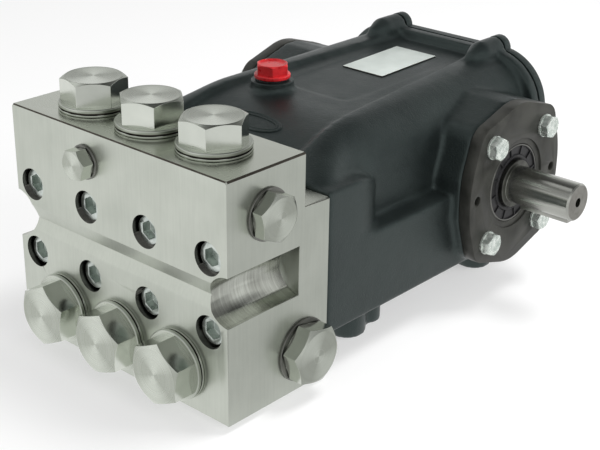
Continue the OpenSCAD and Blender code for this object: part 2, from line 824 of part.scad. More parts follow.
module tray_cut() {
    intersection() {
        along_z(ledge_z, rear_top_z + 10)
            polygon([[-tray_front_half, joint_y - eps], [tray_front_half, joint_y - eps],
                [tray_rear_half, tray_end_y], [-tray_rear_half, tray_end_y]]);
        along_x(-case_half, case_half) above_ridges(tray_depth);
    }
    intersection() {
        along_z(ledge_z, rear_top_z + 10) field_plan();
        along_x(-case_half, case_half) above_ridges(tray_depth + field_depth);
    }
}

// Plan of the level field under the nameplate, with round front corners
module field_plan() {
    corner_r = 14;
    y0 = joint_y + field_setback;
    translate([-field_half, y0 + corner_r]) square([2 * field_half, tray_end_y - y0 - corner_r]);
    translate([corner_r - field_half, y0]) square([2 * (field_half - corner_r), tray_end_y - y0]);
    for (s = sides) translate([s * (field_half - corner_r), y0 + corner_r]) circle(r = corner_r);
}

module filler_boss() {
    rod_z(filler_boss_d, ledge_z, filler_top_z, filler_x, filler_y);
}

// Bare raised oval on the front slope
module oval_pad() {
    lift = 2.5;
    straight = oval_w - oval_d;
    intersection() {
        along_z(ledge_z, rear_top_z) {
            translate([-straight / 2, oval_y - oval_d / 2]) square([straight, oval_d]);
            for (s = sides) translate([s * straight / 2, oval_y]) circle(d = oval_d);
        }
        difference() {
            translate([-oval_w, oval_y - oval_d, ledge_z]) cube([2 * oval_w, 2 * oval_d, rear_top_z - ledge_z]);
            along_x(-oval_w - eps, oval_w + eps) above_ridges(tray_depth - lift);
        }
    }
}

module case_holes() {
    for (i = [0:3]) for (s = sides)
        rod_y(screw_d + 2 * thread_gap, joint_y - eps, joint_y + screw_grip + 2, screw_x(i),
            plunger_z + s * screw_row_offset);
    rod_x(journal_d + 2 * running_gap, -seat_x - eps, seat_x + eps, crank_y, crank_z);
    for (s = sides) {
        hole_l = cover_bolt_grip + 2;
        x0 = s > 0 ? seat_x - hole_l : -seat_x - eps;
        cover_bolt_holes(x0, x0 + hole_l + eps, cover_bolt_d + 2 * thread_gap);
    }
    for (sx = sides) for (sy = sides)
        rod_z(foot_thread_d, -eps, foot_thread_l, sx * foot_pitch_x / 2, sy * foot_pitch_y / 2);
    for (p = rear_bolt_points())
        rod_y(rear_bolt_d + 2 * thread_gap, flange_y - rear_bolt_grip - 1, flange_y + eps, p[0], p[1]);
    rod_z(filler_thread_d, filler_top_z - filler_thread_l - 2, filler_top_z + eps, filler_x, filler_y);
}

module crankcase() {
    color([0.09, 0.1, 0.11]) difference() {
        union() {
            difference() {
                union() {
                    upper_body();
                    front_pad();
                }
                tray_cut();
            }
            lower_body();
            along_x(-seat_x, seat_x) about_crank() cover_outline();
            along_y(flange_front_y, flange_y) flange_outline(0);
            top_bosses();
            feet();
            filler_boss();
            oval_pad();
        }
        case_holes();
    }
}

module rear_cover() {
    color([0.09, 0.1, 0.11]) difference() {
        union() {
            along_y(flange_y, rear_y) {
                flange_outline(0);
                for (s = sides) translate([s * top_boss_x, top_bolt_z]) circle(d = top_boss_d);
            }
            along_y(rear_y - eps, rear_y + crown_t) flange_outline(crown_inset);
        }
        for (p = rear_bolt_points())
            rod_y(rear_bolt_d + 2 * clear_gap, flange_y - eps, rear_y + eps, p[0], p[1]);
        rod_y(sight_d + 2 * thread_gap, flange_y - eps, rear_y + crown_t + eps, 0, sight_z);
        rod_y(drain_d + 2 * thread_gap, flange_y - eps, rear_y + crown_t + eps, 0, drain_z);
    }
}

module rear_cover_bolts() {
    color("silver") for (p = rear_bolt_points())
        translate([p[0], rear_y, p[1]]) rotate([-90, 0, 0])
            hex_bolt(rear_bolt_d, rear_bolt_af, rear_cover_t + rear_bolt_grip);
}

module oil_level_sight() {
    color("lightyellow") translate([0, rear_y + crown_t, sight_z]) rotate([-90, 0, 0])
        hex_plug(sight_af, 8, sight_af + 3, fitting_collar_h, sight_d, rear_cover_t, 0);
}

module oil_drain_plug() {
    color("silver") translate([0, rear_y + crown_t, drain_z]) rotate([-90, 0, 0])
        hex_plug(drain_af, 10, drain_af + 5, fitting_collar_h, drain_d, rear_cover_t, drain_turn);
}

module oil_filler_seal() {
    color("black") difference() {
        rod_z(filler_flange_d - 2, filler_top_z, filler_top_z + ring_t, filler_x, filler_y);
        rod_z(filler_thread_d + 2 * ring_gap, filler_top_z - eps, filler_top_z + ring_t + eps, filler_x, filler_y);
    }
}

module oil_filler_cap() {
    flange_h = 4;
    color("crimson") translate([filler_x, filler_y, filler_top_z + ring_t]) {
        cylinder(d = filler_flange_d, h = flange_h);
        chamfered_hex(filler_cap_af, filler_cap_h - ring_t, 2);
        translate([0, 0, -filler_thread_l])
            cylinder(d = filler_thread_d - 2 * thread_gap, h = filler_thread_l + eps);
    }
}

module nameplate() {
    tilt = atan2(rear_top_z - ridge_z, flange_y - rise_y);
    color("whitesmoke") translate([plate_x, plate_y, plate_z + 0.05]) rotate([tilt, 0, 0])
        translate([-plate_w / 2, -plate_l / 2, 0]) cube([plate_w, plate_l, plate_t]);
}

crankcase();
rear_cover();
rear_cover_bolts();
bearing_cover_right();
bearing_cover_left();
cover_bolts(1);  // right_cover_bolts
cover_bolts(-1);  // left_cover_bolts
shaft_seal();
crankshaft();
shaft_key();
oil_filler_cap();
oil_filler_seal();
oil_level_sight();
oil_drain_plug();
nameplate();
head_block();
discharge_valve_cap(0);  // discharge_valve_cap_1
discharge_valve_cap(1);  // discharge_valve_cap_2
discharge_valve_cap(2);  // discharge_valve_cap_3
suction_valve_cap(0);  // suction_valve_cap_1
suction_valve_cap(1);  // suction_valve_cap_2
suction_valve_cap(2);  // suction_valve_cap_3
head_screw(0, 1);  // upper_head_screw_1
head_screw(1, 1);  // upper_head_screw_2
head_screw(2, 1);  // upper_head_screw_3
head_screw(3, 1);  // upper_head_screw_4
head_screw(0, -1);  // lower_head_screw_1
head_screw(1, -1);  // lower_head_screw_2
head_screw(2, -1);  // lower_head_screw_3
head_screw(3, -1);  // lower_head_screw_4
outlet_plug();
outlet_plug_ring();
inlet_plug();
inlet_plug_ring();
gauge_plug();
gauge_plug_ring();
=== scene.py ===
"""High-pressure plunger pump: a ground stainless fluid head on a black cast crankcase.

The pieces are drawn in millimetres, which MM turns into the metres of the scene. The origin is
on the ground between the four feet, +X runs along the drive shaft and +Y from head to rear cover.
"""

import math

import bmesh
import bpy
from mathutils import Euler, Matrix, Vector


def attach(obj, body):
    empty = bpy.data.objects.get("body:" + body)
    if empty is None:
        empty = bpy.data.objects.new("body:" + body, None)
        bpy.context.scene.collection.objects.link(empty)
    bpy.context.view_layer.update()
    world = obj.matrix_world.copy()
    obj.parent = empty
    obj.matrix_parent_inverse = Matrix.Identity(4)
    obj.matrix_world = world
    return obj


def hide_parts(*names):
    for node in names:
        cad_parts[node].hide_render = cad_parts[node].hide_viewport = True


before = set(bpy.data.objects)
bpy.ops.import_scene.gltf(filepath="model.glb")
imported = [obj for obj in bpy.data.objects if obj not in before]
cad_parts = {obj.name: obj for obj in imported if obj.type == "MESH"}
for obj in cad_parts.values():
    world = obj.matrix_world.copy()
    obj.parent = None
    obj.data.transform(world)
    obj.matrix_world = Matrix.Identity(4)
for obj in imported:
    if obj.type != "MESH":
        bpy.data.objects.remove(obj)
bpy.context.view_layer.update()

MM = 0.001
NEAR = 0.00001

# the way that a turned piece's own +Z points
UP = Matrix.Identity(4)
TO_FRONT = Matrix.Rotation(math.radians(90), 4, "X")
TO_REAR = Matrix.Rotation(math.radians(-90), 4, "X")
TO_RIGHT = Matrix.Rotation(math.radians(90), 4, "Y")
TO_LEFT = Matrix.Rotation(math.radians(-90), 4, "Y")

# fluid head, in mm
FRONT_Y = -290
HEAD_TOP_Z = 211
HEAD_SIDE_X = 126
STEP_Z = 166
CYLINDERS = (-70, 0, 70)
PLUNGER_Z = 113
CHANNEL_R = 21.3
CHANNEL_END_Y = -211
COUNTERBORE_R = 14
COUNTERBORE_REACH = 25
DISCHARGE_Y = -247.4
SUCTION_Z = 41.5
PLUG_X = 128
OUTLET_Z = 173.5
INLET_Y = -206
GAUGE_PLACE = (-33, -292, 184)

# crankcase, in mm
CRANK_Y = 62
CRANK_Z = 113
COVER_X = 146.5
SEAL_X = 137.5
REAR_Y = 153
CROWN_Y = 157
FILLER_X = -34
FILLER_Y = -72
FILLER_Z = 203
SIGHT_Z = 123
DRAIN_Z = 79

# the photo's camera, solved from the corners of the fluid head
CAMERA_PLACE = (0.7367, -0.8956, 0.5623)
CAMERA_TURN = (1.150757, -0.013861, 0.734513)
CAMERA_LENS = 78.16

# the studio that the metal mirrors: tones of the sky from the horizon to straight up
SKY_TONES = ((0.0, 0.76), (0.22, 0.80), (0.36, 0.80), (0.48, 0.52), (0.64, 0.30), (0.82, 0.10),
             (1.0, 0.04))
# bright patches of the sky: direction, cosines where one starts and is full, strength
BRIGHT_PATCHES = (((-0.62, -0.05, 0.78), 0.965, 0.99, 1.1),
                  ((0.0, -0.67, 0.74), 0.75, 0.95, 0.5),
                  ((-0.65, -0.76, 0.02), 0.90, 0.98, 1.1))
# a dark flag that shades the sky behind the drive end
FLAG_DIRECTION = (0.80, 0.56, 0.20)
FLAG_TONE = 0.50
# what lights the pump evenly in place of that sky
SKY_FILL = 0.62

# the floor: its own glow before the camera, and the painted light and shade that metal mirrors
# from it
FLOOR_GLOW = 1.10
FLOOR_GLOW_SHARE = 0.42
FLOOR_BEFORE_HEAD = 0.92
PAINTED_FLOOR_POOL = (0.66, -0.46, 0)

# tones of turned faces, from the dark to the light end of their painted highlight, which also
# carries their random ring tone
TURNED_DARK = (0.42, 0.445, 0.39)
TURNED_LIGHT = (0.66, 0.695, 0.625)


# ---------------------------------------------------------------- small helpers for nodes

def add_node(tree, kind, **values):
    node = tree.nodes.new(kind)
    for key, value in values.items():
        setattr(node, key, value)
    return node


def feed(tree, value, socket):
    """Links another node's socket to this one, or writes a fixed value into it."""
    if isinstance(value, bpy.types.NodeSocket):
        tree.links.new(value, socket)
    else:
        socket.default_value = value


def reckon(tree, operation, *values):
    """One step of arithmetic on numbers."""
    node = add_node(tree, "ShaderNodeMath", operation=operation)
    for value, socket in zip(values, node.inputs):
        feed(tree, value, socket)
    return node.outputs[0]


def reckon_vectors(tree, operation, *values):
    """One step of arithmetic on vectors, which may come out as a number, such as a length."""
    node = add_node(tree, "ShaderNodeVectorMath", operation=operation)
    for value, socket in zip(values, node.inputs):
        feed(tree, value, socket)
    plain = operation in ("LENGTH", "DISTANCE", "DOT_PRODUCT")
    return node.outputs["Value" if plain else "Vector"]


def blend(tree, share, first, second):
    """Goes from the first number to the second as share goes from 0 to 1."""
    node = add_node(tree, "ShaderNodeMix", data_type="FLOAT")
    for label, value in (("Factor", share), ("A", first), ("B", second)):
        feed(tree, value, node.inputs[label])
    return node.outputs[0]


def spread(tree, value, low, high, to_low, to_high):
    """Maps the range from low to high onto another range, and stops at its ends."""
    node = add_node(tree, "ShaderNodeMapRange")
    for label, number in (("From Min", low), ("From Max", high), ("To Min", to_low),
                          ("To Max", to_high)):
        node.inputs[label].default_value = number
    feed(tree, value, node.inputs["Value"])
    return node.outputs["Result"]


def tint(tree, share, dark, light):
    """Goes from the dark colour to the light one."""
    node = add_node(tree, "ShaderNodeMix", data_type="RGBA")
    feed(tree, share, node.inputs[0])
    feed(tree, (*dark, 1), node.inputs[6])
    feed(tree, (*light, 1), node.inputs[7])
    return node.outputs[2]


def noise(tree, place, scale, detail, rough=0.5):
    """Noise in all directions, from 0 to 1."""
    node = add_node(tree, "ShaderNodeTexNoise")
    for label, value in (("Vector", place), ("Scale", scale), ("Detail", detail),
                         ("Roughness", rough)):
        feed(tree, value, node.inputs[label])
    return node.outputs["Fac"]


def noise_along(tree, distance, scale, detail):
    """Noise that changes with one distance only, as tool marks do with the radius."""
    node = add_node(tree, "ShaderNodeTexNoise", noise_dimensions="1D")
    for label, value in (("W", distance), ("Scale", scale), ("Detail", detail)):
        feed(tree, value, node.inputs[label])
    return node.outputs["Fac"]


# ---------------------------------------------------------------- camera, light and floor

def make_camera():
    data = bpy.data.cameras.new("photo_camera")
    data.lens = CAMERA_LENS
    data.sensor_width = 36
    camera = bpy.data.objects.new("photo_camera", data)
    camera.location = CAMERA_PLACE
    camera.rotation_euler = Euler(CAMERA_TURN, "XYZ")
    bpy.context.scene.collection.objects.link(camera)
    bpy.context.scene.camera = camera


def soft_box(name, place, aim, size, power):
    """A lamp that lights and casts shadows, while the metal mirrors the studio instead of it."""
    data = bpy.data.lights.new(name, "AREA")
    data.shape = "RECTANGLE"
    data.size, data.size_y = size
    data.energy = power
    lamp = bpy.data.objects.new(name, data)
    lamp.visible_glossy = False
    lamp.location = place
    lamp.rotation_euler = (Vector(aim) - Vector(place)).to_track_quat("-Z", "Y").to_euler()
    bpy.context.scene.collection.objects.link(lamp)


def make_world():
    """White behind the pump, an even fill on it, and a toned studio in its metal."""
    world = bpy.data.worlds.new("studio")
    world.use_nodes = True
    bpy.context.scene.world = world
    tree = world.node_tree
    background = tree.nodes["Background"]
    background.inputs["Color"].default_value = (1, 1, 1, 1)
    direction = add_node(tree, "ShaderNodeTexCoord").outputs["Generated"]
    height = add_node(tree, "ShaderNodeSeparateXYZ")
    feed(tree, direction, height.inputs[0])
    sky = add_node(tree, "ShaderNodeValToRGB")
    feed(tree, height.outputs["Z"], sky.inputs["Fac"])
    stops = sky.color_ramp.elements
    while len(stops) < len(SKY_TONES):
        stops.new(0.5)
    for stop, (up, tone) in zip(stops, SKY_TONES):
        stop.position = up
        stop.color = (tone, tone, tone, 1)
    toward_flag = reckon_vectors(tree, "DOT_PRODUCT", direction,
                                 Vector(FLAG_DIRECTION).normalized())
    mirrored = reckon(tree, "MULTIPLY", sky.outputs["Color"],
                      spread(tree, toward_flag, 0.80, 0.96, 1.0, FLAG_TONE))
    for aim, start, full, strength in BRIGHT_PATCHES:
        toward = reckon_vectors(tree, "DOT_PRODUCT", direction, Vector(aim).normalized())
        patch = spread(tree, toward, start, full, 0.0, strength)
        mirrored = reckon(tree, "MAXIMUM", mirrored, patch)
    path = add_node(tree, "ShaderNodeLightPath")
    on_pump = blend(tree, path.outputs["Is Glossy Ray"], SKY_FILL, mirrored)
    seen = reckon(tree, "MAXIMUM", path.outputs["Is Camera Ray"],
                  path.outputs["Is Transmission Ray"])
    feed(tree, blend(tree, seen, on_pump, 1.0), background.inputs["Strength"])


def painted_floor_in_metal(tree):
    """How bright metal mirrors the floor, as painted light: even before the head, darker to its
    right, and lighter again in a painted patch out to the front right.
    """
    place = add_node(tree, "ShaderNodeTexCoord").outputs["Object"]
    side = add_node(tree, "ShaderNodeSeparateXYZ")
    feed(tree, place, side.inputs[0])
    # painted light and shade in the floor's glow, seen only in metal
    beside = spread(tree, side.outputs["X"], 0.10, 0.16, 0.0, 1.0)
    rearward = spread(tree, side.outputs["Y"], -0.15, 0.25, 0.64, 0.72)
    from_painted_pool = reckon_vectors(tree, "DISTANCE", place, PAINTED_FLOOR_POOL)
    painted_pool = spread(tree, from_painted_pool, 0.20, 0.42, 0.85, 0.0)
    return blend(tree, beside, FLOOR_BEFORE_HEAD, reckon(tree, "MAXIMUM", rearward, painted_pool))


def floor_white():
    """White floor that keeps the pump's shadow."""
    material = bpy.data.materials.new("floor_white")
    material.use_nodes = True
    tree = material.node_tree
    tree.nodes.remove(tree.nodes["Principled BSDF"])
    path = add_node(tree, "ShaderNodeLightPath")
    matt = add_node(tree, "ShaderNodeBsdfDiffuse")
    matt.inputs["Color"].default_value = (0.9, 0.9, 0.9, 1)
    glow = add_node(tree, "ShaderNodeEmission")
    glow.inputs["Strength"].default_value = FLOOR_GLOW
    mirrored = add_node(tree, "ShaderNodeEmission")
    feed(tree, painted_floor_in_metal(tree), mirrored.inputs["Strength"])
    for light in (glow, mirrored):
        light.inputs["Color"].default_value = (1, 1, 1, 1)
    to_camera = reckon(tree, "MULTIPLY", path.outputs["Is Camera Ray"], FLOOR_GLOW_SHARE)
    shade = matt.outputs[0]
    for share, light in ((to_camera, glow), (path.outputs["Is Glossy Ray"], mirrored)):
        mixed = add_node(tree, "ShaderNodeMixShader")
        feed(tree, share, mixed.inputs["Fac"])
        feed(tree, shade, mixed.inputs[1])
        feed(tree, light.outputs[0], mixed.inputs[2])
        shade = mixed.outputs[0]
    feed(tree, shade, tree.nodes["Material Output"].inputs["Surface"])
    return material


def make_floor():
    bm = bmesh.new()
    bmesh.ops.create_grid(bm, x_segments=1, y_segments=1, size=8.0)
    bmesh.ops.translate(bm, verts=bm.verts, vec=(0, 0, -0.4 * MM))
    new_piece("studio_floor", bm, floor_white())


# ---------------------------------------------------------------- shared surface effects

def new_group(name, inputs, outputs):
    """Starts a node group with an input for each label and value, and a number for each output."""
    tree = bpy.data.node_groups.new(name, "ShaderNodeTree")
    for label, value in inputs.items():
        kind = "NodeSocketVector" if isinstance(value, tuple) else "NodeSocketFloat"
        socket = tree.interface.new_socket(label, in_out="INPUT", socket_type=kind)
        socket.default_value = value
    for label in outputs:
        tree.interface.new_socket(label, in_out="OUTPUT", socket_type="NodeSocketFloat")
    return tree, tree.nodes.new("NodeGroupInput").outputs, tree.nodes.new("NodeGroupOutput").inputs


def make_cast_grain():
    """Sand-cast skin: fine pebbles, a slow wave and sparse pits, and a slow change of tone."""
    tree, start, end = new_group("cast_grain", {"Vector": (0, 0, 0)}, ("Height", "Tone"))
    place = start["Vector"]
    pebbles = noise(tree, place, 620, 4, 0.62)
    wave = noise(tree, place, 55, 2)
    cells = add_node(tree, "ShaderNodeTexVoronoi")
    cells.inputs["Scale"].default_value = 420
    feed(tree, place, cells.inputs["Vector"])
    pits = spread(tree, cells.outputs["Distance"], 0.0, 0.28, -0.6, 0.0)
    rolling = reckon(tree, "MULTIPLY_ADD", wave, 1.6, pebbles)
    feed(tree, reckon(tree, "ADD", rolling, pits), end["Height"])
    feed(tree, noise(tree, place, 28, 4), end["Tone"])
    return tree


def make_ground_marks():
    """Grinding lines drawn out by Stretch, and a Polish of slow clouds crossed by scratches."""
    tree, start, end = new_group("ground_marks", {"Vector": (0, 0, 0), "Stretch": (1, 1, 1)},
                                 ("Lines", "Polish"))
    drawn = reckon_vectors(tree, "MULTIPLY", start["Vector"], start["Stretch"])
    feed(tree, noise(tree, drawn, 1500, 3, 0.6), end["Lines"])
    clouds = noise(tree, start["Vector"], 22, 3, 0.55)
    scratches = noise(tree, drawn, 520, 2)
    feed(tree, reckon(tree, "MULTIPLY_ADD", scratches, 0.4, clouds), end["Polish"])
    return tree


def make_turned_rings():
    """Tool rings round the Axis through Centre, and a painted highlight: colour lightened in a
    wedge that fans out both ways along Fan, with a fifth of its span from the rings' own tone.
    """
    tree, start, end = new_group(
        "turned_rings",
        {"Vector": (0, 0, 0), "Centre": (0, 0, 0), "Axis": (0, 0, 1), "Fan": (1, 0, 0)},
        ("Lines", "Rings", "Painted_Sheen_And_Rings"))
    away = reckon_vectors(tree, "SUBTRACT", start["Vector"], start["Centre"])
    radius = reckon_vectors(tree, "LENGTH",
                            reckon_vectors(tree, "CROSS_PRODUCT", away, start["Axis"]))
    rings = noise_along(tree, radius, 260, 2)
    # painted highlight: a lighter wedge of colour along Fan, in place of the light that fans
    # across turned faces
    along_axis = reckon_vectors(tree, "PROJECT", away, start["Axis"])
    outward = reckon_vectors(tree, "SUBTRACT", away, along_axis)
    spoke = reckon_vectors(tree, "NORMALIZE", outward)
    painted_highlight_wedge = reckon(tree, "ABSOLUTE", reckon_vectors(tree, "DOT_PRODUCT", spoke, start["Fan"]))
    painted_sheen_and_rings = reckon(tree, "ADD", spread(tree, painted_highlight_wedge, 0.45, 0.97, 0.0, 0.8),
                   spread(tree, rings, 0.3, 0.7, 0.0, 0.2))
    feed(tree, noise_along(tree, radius, 1800, 3), end["Lines"])
    feed(tree, rings, end["Rings"])
    feed(tree, painted_sheen_and_rings, end["Painted_Sheen_And_Rings"])
    return tree


def make_cloud_and_grain():
    """A slow cloud of tone and a fine grain, each with its own scale."""
    tree, start, end = new_group("cloud_and_grain",
                                 {"Vector": (0, 0, 0), "Coarse": 60.0, "Fine": 2200.0},
                                 ("Cloud", "Grain"))
    feed(tree, noise(tree, start["Vector"], start["Coarse"], 4), end["Cloud"])
    feed(tree, noise(tree, start["Vector"], start["Fine"], 3), end["Grain"])
    return tree


CAST_GRAIN = make_cast_grain()
GROUND_MARKS = make_ground_marks()
TURNED_RINGS = make_turned_rings()
CLOUD_AND_GRAIN = make_cloud_and_grain()


def start_material(name, colour, metallic):
    material = bpy.data.materials.new(name)
    material.use_nodes = True
    tree = material.node_tree
    shader = tree.nodes["Principled BSDF"]
    shader.inputs["Base Color"].default_value = (*colour, 1)
    shader.inputs["Metallic"].default_value = metallic
    return material, tree, shader, add_node(tree, "ShaderNodeTexCoord").outputs["Object"]


def place_group(tree, group, place, **values):
    """Puts a shared effect into a material with that material's own values."""
    node = add_node(tree, "ShaderNodeGroup", node_tree=group)
    feed(tree, place, node.inputs["Vector"])
    for label, value in values.items():
        node.inputs[label].default_value = value
    return node.outputs


def bump(tree, shader, height, depth, strength):
    node = add_node(tree, "ShaderNodeBump")
    node.inputs["Strength"].default_value = strength
    node.inputs["Distance"].default_value = depth
    feed(tree, height, node.inputs["Height"])
    feed(tree, node.outputs["Normal"], shader.inputs["Normal"])


def colour_and_gloss(tree, shader, share, dark, light, gloss, rough):
    """Colours a surface from dark to light by share, and sets its roughness by gloss."""
    feed(tree, tint(tree, share, dark, light), shader.inputs["Base Color"])
    feed(tree, spread(tree, gloss, 0.3, 0.7, *rough), shader.inputs["Roughness"])


def case_paint():
    """Satin black on a casting."""
    dark, light = (0.008, 0.0105, 0.0105), (0.014, 0.018, 0.0175)
    material, tree, shader, place = start_material("case_paint", dark, 0.0)
    shader.inputs["Specular IOR Level"].default_value = 0.70
    shader.inputs["Specular Tint"].default_value = (0.80, 1.0, 0.97, 1)
    grain = place_group(tree, CAST_GRAIN, place)
    colour_and_gloss(tree, shader, spread(tree, grain["Tone"], 0.35, 0.65, 0.0, 1.0), dark, light,
                     grain["Tone"], (0.34, 0.46))
    bump(tree, shader, grain["Height"], 0.28 * MM, 1.0)
    return material


def ground_steel(name, dark, light, rough, stretch, depth):
    """Stainless steel ground in one direction; depth is that of its lines in mm."""
    material, tree, shader, place = start_material(name, light, 1.0)
    marks = place_group(tree, GROUND_MARKS, place, Stretch=stretch)
    polish = spread(tree, marks["Polish"], 0.5, 0.9, 0.0, 1.0)
    feed(tree, tint(tree, polish, dark, light), shader.inputs["Base Color"])
    feed(tree, spread(tree, marks["Polish"], 0.5, 0.9, *rough), shader.inputs["Roughness"])
    bump(tree, shader, marks["Lines"], depth * MM, 0.5)
    return material


def turned_steel(name, centre, axis, fan, rough, dark=TURNED_DARK, light=TURNED_LIGHT,
                 anisotropic=0.65):
    """Turned steel, whose light is drawn out across the tool rings round its own axis, and whose
    colour carries a painted highlight along fan.
    """
    material, tree, shader, place = start_material(name, light, 1.0)
    rings = place_group(tree, TURNED_RINGS, place, Centre=centre, Axis=axis,
                        Fan=Vector(fan).normalized())
    colour_and_gloss(tree, shader, rings["Painted_Sheen_And_Rings"], dark, light, rings["Rings"], rough)
    bump(tree, shader, rings["Lines"], 0.01 * MM, 0.4)
    away = reckon_vectors(tree, "SUBTRACT", place, centre)
    shader.inputs["Anisotropic"].default_value = anisotropic
    feed(tree, reckon_vectors(tree, "CROSS_PRODUCT", axis, away), shader.inputs["Tangent"])
    return material


def plain_metal(name, dark, light, rough, coarse=60, metallic=1.0):
    """Drawn, plated or dark cast metal, or metal darkened as painted shade, with a slow cloud of
    tone and fine grain.
    """
    material, tree, shader, place = start_material(name, light, metallic)
    skin = place_group(tree, CLOUD_AND_GRAIN, place, Coarse=coarse, Fine=2200)
    colour_and_gloss(tree, shader, spread(tree, skin["Cloud"], 0.35, 0.65, 0.0, 1.0), dark, light,
                     skin["Cloud"], rough)
    bump(tree, shader, skin["Grain"], 0.02 * MM, 0.4)
    return material


def seal_rubber():
    """Moulded rubber with a little dust on it."""
    dark, light = (0.010, 0.010, 0.011), (0.022, 0.022, 0.023)
    material, tree, shader, place = start_material("seal_rubber", dark, 0.0)
    skin = place_group(tree, CLOUD_AND_GRAIN, place, Coarse=120, Fine=1400)
    colour_and_gloss(tree, shader, spread(tree, skin["Cloud"], 0.4, 0.7, 0.0, 1.0), dark, light,
                     skin["Cloud"], (0.36, 0.5))
    bump(tree, shader, skin["Grain"], 0.03 * MM, 0.5)
    return material


def red_plastic():
    """Moulded red plastic that lets a little light in."""
    dark, light = (0.40, 0.010, 0.014), (0.54, 0.020, 0.024)
    material, tree, shader, place = start_material("red_plastic", (0.62, 0.008, 0.016), 0.0)
    shader.inputs["Subsurface Weight"].default_value = 0.05
    shader.inputs["Subsurface Radius"].default_value = (0.004, 0.001, 0.001)
    cloud = noise(tree, place, 160, 3)
    colour_and_gloss(tree, shader, spread(tree, cloud, 0.35, 0.65, 0.0, 1.0), dark, light, cloud,
                     (0.24, 0.36))
    bump(tree, shader, noise(tree, place, 900, 2), 0.02 * MM, 0.4)
    return material


def sight_glass():
    """The oil-coloured window of the level sight."""
    dark, light = (0.66, 0.50, 0.22), (0.80, 0.66, 0.36)
    material, tree, shader, place = start_material("sight_glass", light, 0.0)
    cloud = noise(tree, place, 90, 2)
    colour_and_gloss(tree, shader, spread(tree, cloud, 0.35, 0.65, 0.0, 1.0), dark, light, cloud,
                     (0.08, 0.16))
    return material


# ---------------------------------------------------------------- ways of making a piece

def new_piece(name, bm, *finishes):
    """Turns a bmesh into an object, with its finishes in the order of the faces' numbers."""
    mesh = bpy.data.meshes.new(name)
    bm.to_mesh(mesh)
    bm.free()
    for finish in finishes:
        mesh.materials.append(finish)
    piece = bpy.data.objects.new(name, mesh)
    bpy.context.scene.collection.objects.link(piece)
    return piece


def hang(piece, body, nodes):
    """Lets a piece ride on its body and stand in for the CAD nodes that it dresses."""
    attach(piece, body)
    if nodes:
        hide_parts(*nodes)


def finish_piece(name, bm, finishes, nodes, body="pump", bevel=0.0, segments=2, angle=28):
    """Makes a smooth piece whose edges sharper than angle get a bevel in mm, or stay crisp."""
    piece = new_piece(name, bm, *finishes)
    piece.data.shade_smooth()
    if bevel:
        edge = piece.modifiers.new("edge_round", "BEVEL")
        edge.width = bevel * MM
        edge.segments = segments
        edge.limit_method = "ANGLE"
        edge.angle_limit = math.radians(angle)
        edge.harden_normals = True
    else:
        piece.data.set_sharp_from_angle(angle=math.radians(angle))
    hang(piece, body, nodes)
    return piece


def at(x, y, z, turn=UP):
    """A place in mm, and the way that a piece is turned there."""
    return Matrix.Translation((x * MM, y * MM, z * MM)) @ turn


def turned_degrees(degrees):
    return Matrix.Rotation(math.radians(degrees), 4, "Z")


def carried(node):
    """A merged copy of a CAD node's mesh, with its flat faces made whole."""
    bm = bmesh.new()
    bm.from_mesh(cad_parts[node].data)
    bmesh.ops.remove_doubles(bm, verts=bm.verts, dist=0.002 * MM)
    bmesh.ops.dissolve_limit(bm, angle_limit=math.radians(0.6), verts=bm.verts, edges=bm.edges,
                             use_dissolve_boundaries=False)
    return bm


def round_edges(bm, edges, width, segments):
    """Cuts a flat chamfer or a round of several facets along edges, with its width in mm."""
    bmesh.ops.bevel(bm, geom=edges, offset=width * MM, segments=segments, affect="EDGES",
                    profile=0.5, material=-1, offset_type="OFFSET")


def join(bm, part, matrix):
    """Adds a part to a piece at its place."""
    part.transform(matrix)
    mesh = bpy.data.meshes.new("part_of_piece")
    part.to_mesh(mesh)
    part.free()
    bm.from_mesh(mesh)
    bpy.data.meshes.remove(mesh)


def turned(bm, profile, matrix=UP, steps=96):
    """Spins a profile of (radius, height) in mm about Z and adds it to bm."""
    part = bmesh.new()
    points = [part.verts.new((r * MM, 0, z * MM)) for r, z in profile]
    edges = [part.edges.new(pair) for pair in zip(points, points[1:])]
    bmesh.ops.spin(part, geom=points + edges, axis=(0, 0, 1), cent=(0, 0, 0), angle=math.tau,
                   steps=steps, use_merge=True, use_duplicate=False)
    bmesh.ops.remove_doubles(part, verts=part.verts, dist=0.005 * MM)
    bmesh.ops.recalc_face_normals(part, faces=part.faces)
    join(bm, part, matrix)


